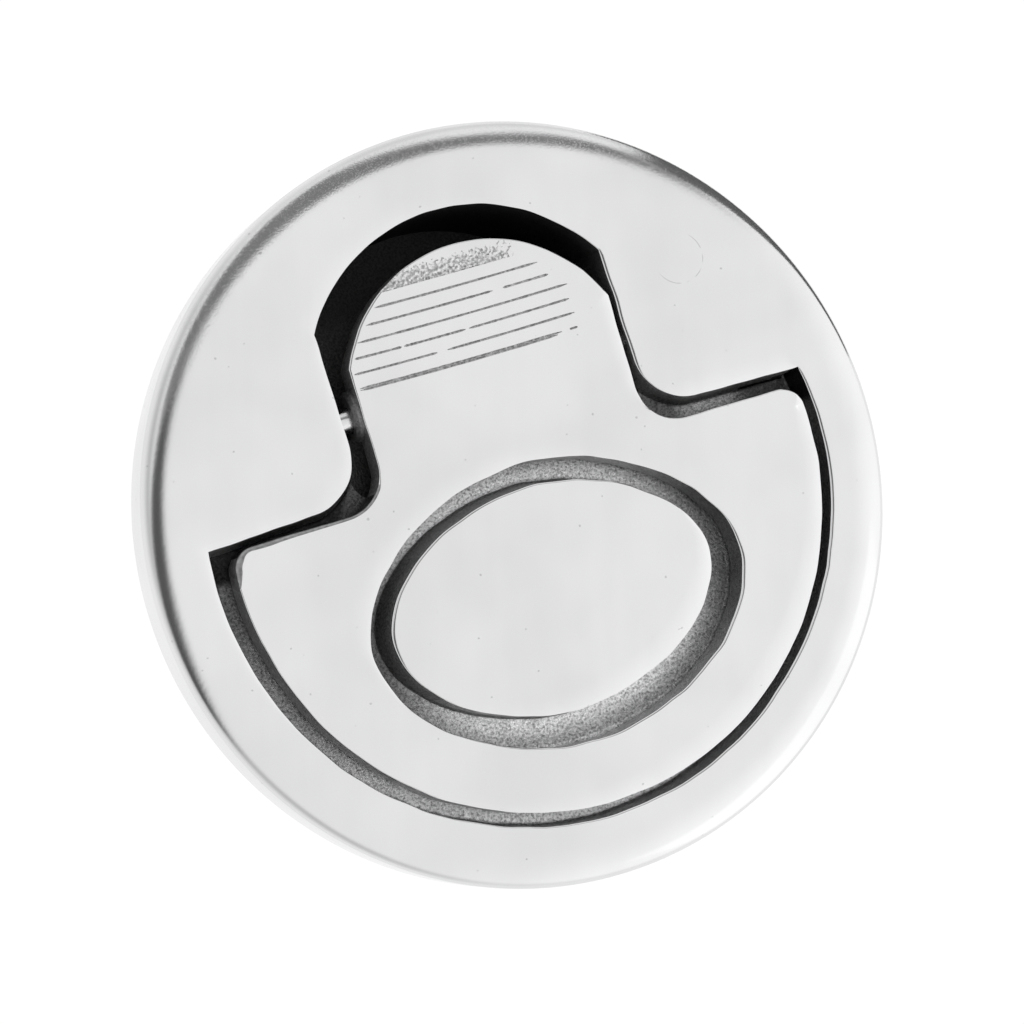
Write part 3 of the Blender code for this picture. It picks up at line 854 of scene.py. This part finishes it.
def make_stud(name):
    """A fully threaded stud with chamfered ends."""
    low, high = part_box(name)
    centre = (low + high) / 2
    radius = (high.x - low.x) / 2
    rows = round((high.z - low.z) / THREAD_PITCH * THREAD_ROWS)
    rings = []
    for row in range(rows + 1):
        z = low.z + (high.z - low.z) * row / rows
        limit = radius - STUD_CHAMFER + min(STUD_CHAMFER, z - low.z, high.z - z)
        ring = []
        for number in range(THREAD_SEGMENTS):
            angle = math.tau * number / THREAD_SEGMENTS
            ring.append(polar(centre.x, centre.y, min(limit, thread_radius(radius, angle, z)), angle, z))
        rings.append(ring)
    fit(loft(name + "_thread", rings), name, FASTENER)


def washer_section(inner, outer, low, high, edge):
    """The section of a flat ring with small chamfers, as (radius, z) points."""
    section = [(inner, low + edge), (inner + edge, low), (outer - edge, low), (outer, low + edge)]
    return section + [(outer, high - edge), (outer - edge, high), (inner + edge, high), (inner, high - edge)]


def make_flat_washer(name, stud_radius):
    """A flat washer with a small chamfer on every edge."""
    low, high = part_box(name)
    centre = (low + high) / 2
    inner = stud_radius + WASHER_HOLE_CLEARANCE
    section = washer_section(inner, (high.x - low.x) / 2, low.z, high.z, WASHER_EDGE)
    rings = []
    for number in range(ROUND_SEGMENTS):
        angle = math.tau * number / ROUND_SEGMENTS
        rings.append([polar(centre.x, centre.y, radius, angle, z) for radius, z in section])
    fit(loft(name + "_turned", rings, looped=True), name, FASTENER)


def make_lock_washer(name, stud_radius):
    """A split washer, closed flat, with a slanting split."""
    low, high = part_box(name)
    centre = (low + high) / 2
    outer = (high.y - low.y) / 2
    section = washer_section(stud_radius + WASHER_HOLE_CLEARANCE, outer, low.z, high.z, WASHER_EDGE)
    half_split = LOCK_WASHER_SLOT / 2 / outer
    slant = LOCK_WASHER_SLANT / outer / (high.z - low.z)
    rings = []
    for number in range(ROUND_SEGMENTS + 1):
        ring = []
        for radius, z in section:
            turn = (math.tau - 2 * half_split) * number / ROUND_SEGMENTS
            angle = half_split + turn + slant * (z - centre.z)
            ring.append(polar(low.x + outer, centre.y, radius, angle, z))
        rings.append(ring)
    fit(loft(name + "_split", rings), name, FASTENER)


def make_nut(name, stud_radius):
    """A hexagon nut with chamfered corners and a countersunk bore."""
    low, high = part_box(name)
    centre = (low + high) / 2
    face = NUT_ACROSS_FLATS / 2
    corner = face / math.cos(math.pi / NUT_SIDES)
    turns = [math.tau * number / NUT_SIDES for number in range(NUT_SIDES)]
    hexagon = [centre.xy + corner * Vector((math.cos(turn), math.sin(turn))) for turn in turns]
    wide = corner + OVERCUT
    drop = (wide - face) * math.tan(NUT_CHAMFER)
    trim = [(face, low.z), (wide, low.z + drop), (wide, high.z - drop), (face, high.z)]
    bore = stud_radius + THREAD_CLEARANCE
    sunk = bore + NUT_SINK + OVERCUT
    hole = [(sunk, low.z - OVERCUT), (bore, low.z + NUT_SINK)]
    hole += [(bore, high.z - NUT_SINK), (sunk, high.z + OVERCUT)]
    body = prism(name + "_blank", hexagon, low.z, high.z)
    across = Vector((centre.x, centre.y, 0))
    tools = [(turned("trim", trim, ROUND_SEGMENTS, across), "INTERSECT")]
    tools.append((turned("bore", hole, ROUND_SEGMENTS, across), "DIFFERENCE"))
    fit(link(name + "_hexagon", carve(body, tools)), name, FASTENER)


def make_pin():
    low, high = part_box("pivot_pin")
    fit(rod("pin_turned", PIN_RADIUS, high.x - low.x, (low + high) / 2, PIN_CHAMFER), "pivot_pin", PIN_STEEL)


def fit(obj, node, material):
    """Puts a fine piece in the place of its plain one."""
    obj.data.materials.append(material)
    smooth(obj)
    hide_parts(node)
    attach(obj, "base")


def make_fixings():
    make_pin()
    for side in ("left", "right"):
        low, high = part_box("stud_" + side)
        stud_radius = (high.x - low.x) / 2
        make_stud("stud_" + side)
        make_flat_washer("flat_washer_" + side, stud_radius)
        make_lock_washer("lock_washer_" + side, stud_radius)
        make_nut("nut_" + side, stud_radius)


def ramp(tree, source, *span):
    """Goes smoothly from 0 to 1, or to the span's last two numbers, as the source runs over its first two."""
    node = tree.nodes.new("ShaderNodeMapRange")
    node.interpolation_type = "SMOOTHSTEP"
    for socket, value in zip(("From Min", "From Max", "To Min", "To Max"), span):
        node.inputs[socket].default_value = value
    tree.links.new(source, node.inputs["Value"])
    return node.outputs["Result"]


def vector_math(tree, operation, vector, other):
    node = tree.nodes.new("ShaderNodeVectorMath")
    node.operation = operation
    node.inputs[1].default_value = other
    tree.links.new(vector, node.inputs[0])
    return node.outputs["Value"]


def extent(tree, vector, way):
    """How far a vector reaches along a way."""
    return vector_math(tree, "DOT_PRODUCT", vector, way)


def join(tree, operation, first, second):
    """A Math node on two outputs, or on an output and a number."""
    node = tree.nodes.new("ShaderNodeMath")
    node.operation = operation
    for socket, value in zip(node.inputs, (first, second)):
        if isinstance(value, float):
            socket.default_value = value
        else:
            tree.links.new(value, socket)
    return node.outputs[0]


def product(tree, first, second):
    return join(tree, "MULTIPLY", first, second)


def larger(tree, first, second):
    return join(tree, "MAXIMUM", first, second)


def ramp_along(tree, vector, way, span):
    """A ramp on how far a vector reaches along a way."""
    return ramp(tree, extent(tree, vector, way), *span)


def shader_input(material, name):
    return material.node_tree.nodes["Principled BSDF"].inputs[name]


def new_material(name, colour, roughness, metallic=1.0):
    material = bpy.data.materials.new(name)
    material.use_nodes = True
    shader_input(material, "Base Color").default_value = (*colour, 1)
    shader_input(material, "Metallic").default_value = metallic
    shader_input(material, "Roughness").default_value = roughness
    return material


def texture_place(tree, stretch=(1, 1, 1), turn=0.0):
    """Object coordinates, turned about Z and stretched."""
    coordinates = tree.nodes.new("ShaderNodeTexCoord")
    mapping = tree.nodes.new("ShaderNodeMapping")
    mapping.vector_type = "TEXTURE"
    mapping.inputs["Rotation"].default_value = (0, 0, turn)
    mapping.inputs["Scale"].default_value = stretch
    tree.links.new(coordinates.outputs["Object"], mapping.inputs["Vector"])
    return mapping.outputs["Vector"]


def noise_of(tree, vector, scale, detail=2.0, roughness=0.5):
    node = tree.nodes.new("ShaderNodeTexNoise")
    for socket, value in zip(("Scale", "Detail", "Roughness"), (scale, detail, roughness)):
        node.inputs[socket].default_value = value
    tree.links.new(vector, node.inputs["Vector"])
    return node.outputs["Fac"]


def add_bump(material, height, depth):
    """Adds a bump on top of any the material has already."""
    tree = material.node_tree
    normal = shader_input(material, "Normal")
    bump = tree.nodes.new("ShaderNodeBump")
    bump.inputs["Strength"].default_value = 1.0
    bump.inputs["Distance"].default_value = depth
    if normal.links:
        tree.links.new(normal.links[0].from_socket, bump.inputs["Normal"])
    tree.links.new(height, bump.inputs["Height"])
    tree.links.new(bump.outputs["Normal"], normal)


def tint(material, factor, dark, light):
    """Runs the colour from dark to light grey as a factor goes from 0 to 1."""
    tree = material.node_tree
    mix = tree.nodes.new("ShaderNodeMix")
    mix.data_type = "RGBA"
    mix.inputs["A"].default_value = (dark, dark, dark * BLUE_CAST, 1)
    mix.inputs["B"].default_value = (light, light, light * BLUE_CAST, 1)
    tree.links.new(factor, mix.inputs["Factor"])
    tree.links.new(mix.outputs["Result"], shader_input(material, "Base Color"))


def vary_roughness(material, factor, low, high):
    """Runs the roughness from low to high over most of a noise."""
    tree = material.node_tree
    tree.links.new(ramp(tree, factor, *NOISE_SPAN, low, high), shader_input(material, "Roughness"))


def scratch_shade(tree, place):
    """How much the scratch darkens the polish: a part of a thin circle, broken in places."""
    off_centre = vector_math(tree, "DISTANCE", place, SCRATCH_PLACE)
    off_line = join(tree, "SUBTRACT", off_centre, SCRATCH_RADIUS)
    line = ramp(tree, join(tree, "ABSOLUTE", off_line, 0.0), 0.0, SCRATCH_WIDTH, SCRATCH_SHADE, 0.0)
    line = product(tree, line, ramp_along(tree, place, SCRATCH_SIDE, SCRATCH_FADE))
    return product(tree, line, ramp(tree, noise_of(tree, place, SCRATCH_BREAK_SCALE), *SCRATCH_BREAKS))


def polished_steel():
    """Buffed stainless: lengthwise marks, a matt grain on the upper rim, one scratch and tiny pits."""
    material = new_material("polished_steel", (0.75, 0.75, 0.755), 0.13)
    tree = material.node_tree
    place = texture_place(tree)
    marks = noise_of(tree, texture_place(tree, MARKS_STRETCH, POLISH_ANGLE), MARKS_SCALE, detail=3.0)
    pits = ramp(tree, noise_of(tree, place, PIT_SCALE, detail=0.0), *PITS)
    grain = noise_of(tree, place, RIM_GRAIN_SCALE)
    off_flat = ramp(tree, vector_math(tree, "DISTANCE", place, (0, 0, 0)), *RIM_EDGE)
    on_rim = product(tree, ramp_along(tree, place, AHEAD, UPPER_RIM), off_flat)
    add_bump(material, marks, MARKS_HEIGHT)
    add_bump(material, noise_of(tree, place, UNEVEN_SCALE), UNEVEN_HEIGHT)
    add_bump(material, product(tree, grain, on_rim), RIM_GRAIN_HEIGHT)
    clouds = ramp(tree, noise_of(tree, place, CLOUD_SCALE), *NOISE_SPAN, *CLOUD_SHADE)
    clouds = product(tree, clouds, ramp(tree, marks, *WIDE_NOISE_SPAN, *MARKS_SHADE))
    flaws = larger(tree, pits, scratch_shade(tree, place))
    tint(material, join(tree, "SUBTRACT", clouds, flaws), 0.0, POLISH_GREY)
    speckle = product(tree, on_rim, ramp(tree, grain, *RIM_GRAIN))
    roughness = join(tree, "ADD", ramp(tree, marks, *NOISE_SPAN, *MARKS_ROUGHNESS), speckle)
    tree.links.new(roughness, shader_input(material, "Roughness"))
    return material


def painted_floor_shade(tree, place):
    """Painted light and shade of the recess: lightest near the island's long sides and dark in the narrow
    gaps.
    """
    right = extent(tree, place, RIGHT)
    ahead = extent(tree, place, AHEAD)
    side = extent(tree, place, (*SHADED_SIDE, 0))
    across = join(tree, "DIVIDE", right, FINGER_HALF_LENGTH)
    along = join(tree, "DIVIDE", join(tree, "SUBTRACT", ahead, FINGER_CENTRE.y), FINGER_HALF_WIDTH)
    sum_of_squares = join(tree, "ADD", product(tree, across, across), product(tree, along, along))
    share = join(tree, "POWER", sum_of_squares, 0.5)
    end_on = join(tree, "DIVIDE", join(tree, "ABSOLUTE", along, 0.0), larger(tree, share, HOLE_MIDDLE))
    by_ring = larger(tree, ramp(tree, share, *HOLE_EDGE), ramp(tree, share, *HOLE_OUTSIDE))
    by_left = larger(tree, ramp(tree, across, *HOLE_LEFT), ramp(tree, share, *HOLE_BEYOND))
    shade = product(tree, ramp(tree, end_on, *HOLE_ENDS), product(tree, by_ring, by_left))
    below = larger(tree, ramp(tree, ahead, *SHOULDER_GAPS), ramp(tree, share, *HOLE_BEYOND, 1.0, 0.0))
    by_side = product(tree, below, ramp(tree, side, *ARC_FADE))
    shade = product(tree, shade, larger(tree, ramp(tree, side, *SHADED_FADE), by_side))
    lit = product(tree, ramp(tree, right, *GAP_LIT_FROM), ramp(tree, right, *GAP_LIT_UNTIL))
    return product(tree, shade, larger(tree, below, lit))


def cast_skin():
    """Sand-cast skin with a fine bright grain, tinted with the recess's painted light and shade."""
    material = new_material("cast_skin", (0.7, 0.7, 0.7), 0.35)
    tree = material.node_tree
    place = texture_place(tree)
    grain = noise_of(tree, place, CAST_SCALE, CAST_DETAIL, CAST_NOISE_ROUGHNESS)
    patches = ramp(tree, noise_of(tree, place, CAST_PATCH_SCALE), *WIDE_NOISE_SPAN, *CAST_PATCHES)
    add_bump(material, grain, CAST_HEIGHT)
    light = product(tree, ramp(tree, grain, *CAST_GRAIN), patches)
    light = join(tree, "ADD", CAST_DARKEST, product(tree, light, 1 - CAST_DARKEST))
    tint(material, product(tree, light, painted_floor_shade(tree, place)), 0.0, 1.0)
    vary_roughness(material, grain, *CAST_ROUGHNESS)
    return material


def rough_skin(name, dark, light, roughness, scale=5000, height=CAST_HEIGHT, fade=None, metallic=1.0):
    """Dull steel with a fine even grain, which may fade along Y as painted shade. Scale on it makes it less
    metallic.
    """
    material = new_material(name, (light, light, light), roughness, metallic)
    tree = material.node_tree
    place = texture_place(tree)
    grain = noise_of(tree, place, scale, detail=3.0)
    add_bump(material, grain, height)
    factor = ramp(tree, grain, *NOISE_SPAN, dark / light, 1.0)
    if fade:
        factor = product(tree, factor, ramp_along(tree, place, AHEAD, fade))
    tint(material, factor, 0.0, light)
    return material


def turned_steel(name, grey, roughness):
    """Machined steel with fine tool marks."""
    material = new_material(name, (grey, grey, grey * 1.01), roughness)
    tree = material.node_tree
    marks = noise_of(tree, texture_place(tree, TURNED_STRETCH), TURNED_SCALE, detail=3.0)
    add_bump(material, marks, TURNED_HEIGHT)
    tint(material, ramp(tree, marks, *WIDE_NOISE_SPAN), grey * TURNED_DARKEST, grey)
    smoothest, roughest = TURNED_ROUGHNESS
    vary_roughness(material, marks, roughness * smoothest, roughness * roughest)
    return material


def make_camera():
    """The photograph's view: nearly square on to the face, from a little to its left."""
    data = bpy.data.cameras.new("camera")
    data.lens = CAMERA_LENS
    data.sensor_width = CAMERA_SENSOR
    data.clip_start = CAMERA_NEAR
    camera = link("camera", data)
    right = CAMERA_UP.cross(CAMERA_BACK).normalized()
    up = CAMERA_BACK.cross(right)
    turn = Matrix((right, up, CAMERA_BACK)).transposed().to_4x4()
    camera.matrix_world = Matrix.Translation(CAMERA_PLACE) @ turn
    bpy.context.scene.camera = camera


def flat_piece(name, places, material):
    mesh = bpy.data.meshes.new(name)
    mesh.from_pydata(places, [], [range(len(places))])
    mesh.materials.append(material)
    return link(name, mesh)


def make_floor():
    """A pale floor under the studs, white to the camera and in reflections, that still takes a shadow."""
    material = bpy.data.materials.new("floor_white")
    material.use_nodes = True
    tree = material.node_tree
    tree.nodes.clear()
    output = tree.nodes.new("ShaderNodeOutputMaterial")
    mix = tree.nodes.new("ShaderNodeMixShader")
    paint = tree.nodes.new("ShaderNodeBsdfDiffuse")
    paint.inputs["Color"].default_value = FLOOR_PAINT
    glow = tree.nodes.new("ShaderNodeEmission")
    glow.inputs["Color"].default_value = (1, 1, 1, 1)
    glow.inputs["Strength"].default_value = FLOOR_GLOW
    path = tree.nodes.new("ShaderNodeLightPath")
    seen = larger(tree, path.outputs["Is Camera Ray"], path.outputs["Is Glossy Ray"])
    tree.links.new(product(tree, seen, FLOOR_GLOW_SHARE), mix.inputs["Fac"])
    tree.links.new(paint.outputs[0], mix.inputs[1])
    tree.links.new(glow.outputs[0], mix.inputs[2])
    tree.links.new(mix.outputs[0], output.inputs["Surface"])
    corners = ((-1, -1, 0), (1, -1, 0), (1, 1, 0), (-1, 1, 0))
    floor = flat_piece("floor", [Vector(corner) * FLOOR_HALF_SIZE for corner in corners], material)
    floor.location.z = STUD_BOTTOM - FLOOR_GAP


def make_world():
    """A pale studio with the dark things that the polish reflects: behind, beside and in a belt around."""
    world = bpy.data.worlds.new("studio")
    bpy.context.scene.world = world
    world.use_nodes = True
    tree = world.node_tree
    towards = tree.nodes.new("ShaderNodeTexCoord").outputs["Generated"]
    right = extent(tree, towards, RIGHT)
    lift = join(tree, "ADD", ramp(tree, right, *LIFT_RIGHT), ramp(tree, right, *LIFT_FAR_RIGHT))
    lift = larger(tree, lift, product(tree, right, LIFT_LEFT))
    height = join(tree, "SUBTRACT", extent(tree, towards, UP), lift)
    behind = ramp_along(tree, towards, AHEAD, BEHIND_RANGE)
    behind = product(tree, behind, ramp(tree, height, *BEHIND_HEIGHT))
    beside = ramp_along(tree, towards, BESIDE_WAY, BESIDE_RANGE)
    beside = product(tree, beside, ramp_along(tree, towards, LEFT, BESIDE_LEFT))
    beside = product(tree, beside, ramp_along(tree, towards, BESIDE_TILT, BESIDE_HEIGHT))
    behind_light = ramp(tree, behind, 0.0, 1.0, 1.0, BEHIND_SHADE)
    beside_light = ramp(tree, beside, 0.0, 1.0, 1.0, BESIDE_SHADE)
    light = join(tree, "MINIMUM", behind_light, beside_light)
    light = product(tree, ramp_along(tree, towards, NEAR_SIDE_WAY, NEAR_SIDE), light)
    turn = extent(tree, towards, BELT_WAY)
    belt = product(tree, ramp(tree, turn, *BELT_TOP), ramp(tree, turn, *BELT_BOTTOM))
    belt = product(tree, belt, ramp_along(tree, towards, LEFT, BELT_DEPTH))
    light = product(tree, light, join(tree, "SUBTRACT", 1.0, belt))
    background = tree.nodes["Background"]
    background.inputs["Color"].default_value = (1, 1, 1, 1)
    tree.links.new(light, background.inputs["Strength"])


def make_flag():
    """An upright dark card behind the right of the rim, which darkens its edge and stays out of view."""
    away = Vector((math.cos(FLAG_ANGLE), math.sin(FLAG_ANGLE), 0))
    along = Vector((-away.y, away.x, 0))
    places = [away * FLAG_DISTANCE + along * x + Vector((0, 0, z)) for x, z in FLAG_OUTLINE]
    cloth = new_material("flag_cloth", FLAG_GREY, roughness=1.0, metallic=0.0)
    flag = flat_piece("flag", places, cloth)
    flag.visible_camera = False


def make_lights():
    """One large soft lamp, low on the near right."""
    data = bpy.data.lights.new("softbox", "AREA")
    data.shape = "RECTANGLE"
    data.size = LAMP_SIZE
    data.size_y = LAMP_SIZE
    data.energy = LAMP_POWER
    lamp = link("softbox", data)
    lamp.location = LAMP_PLACE
    lamp.rotation_euler = LAMP_PLACE.to_track_quat("Z", "Y").to_euler()


POLISHED = polished_steel()
CAST_SKIN = cast_skin()
# Darker skin on steep walls: painted shade
WALL_SHADE_SKIN = rough_skin("cast_wall_shade", dark=0.3, light=0.6, roughness=0.35, metallic=0.8)
# Darkest skin in the well and on the hub, fading along Y: painted shade
DEEP_SHADE_SKIN = rough_skin("cast_deep_shade", dark=0.12, light=0.24, roughness=0.5, fade=WELL_PAINTED_SHADE, metallic=0.8)
GROOVE_SKIN = rough_skin("groove_skin", dark=0.45, light=0.7, roughness=0.35)
DULL_SKIN = rough_skin("dull_skin", dark=0.3, light=0.8, roughness=0.4, scale=4200, height=0.025 * MM)
CAST_BACK = rough_skin("cast_back", dark=0.35, light=0.75, roughness=0.35)
WORN_SKIN = rough_skin("worn_skin", dark=0.3, light=0.44, roughness=0.4, scale=3000, height=0.01 * MM)
PIN_STEEL = turned_steel("pin_steel", grey=0.74, roughness=0.2)
FASTENER = turned_steel("plain_steel", grey=0.68, roughness=0.3)

# In the order of the numbers that faces carry
CASTING_MATERIALS = (
    POLISHED, CAST_SKIN, WALL_SHADE_SKIN, DEEP_SHADE_SKIN, GROOVE_SKIN, DULL_SKIN, WORN_SKIN, CAST_BACK,
)

make_camera()
make_world()
make_lights()
make_floor()
make_flag()
make_housing()
make_lift_ring()
make_fixings()
for node in frame["nodes"].values():
    node.data.materials.clear()
    node.data.materials.append(FASTENER)

bpy.context.scene.view_settings.view_transform = "Standard"
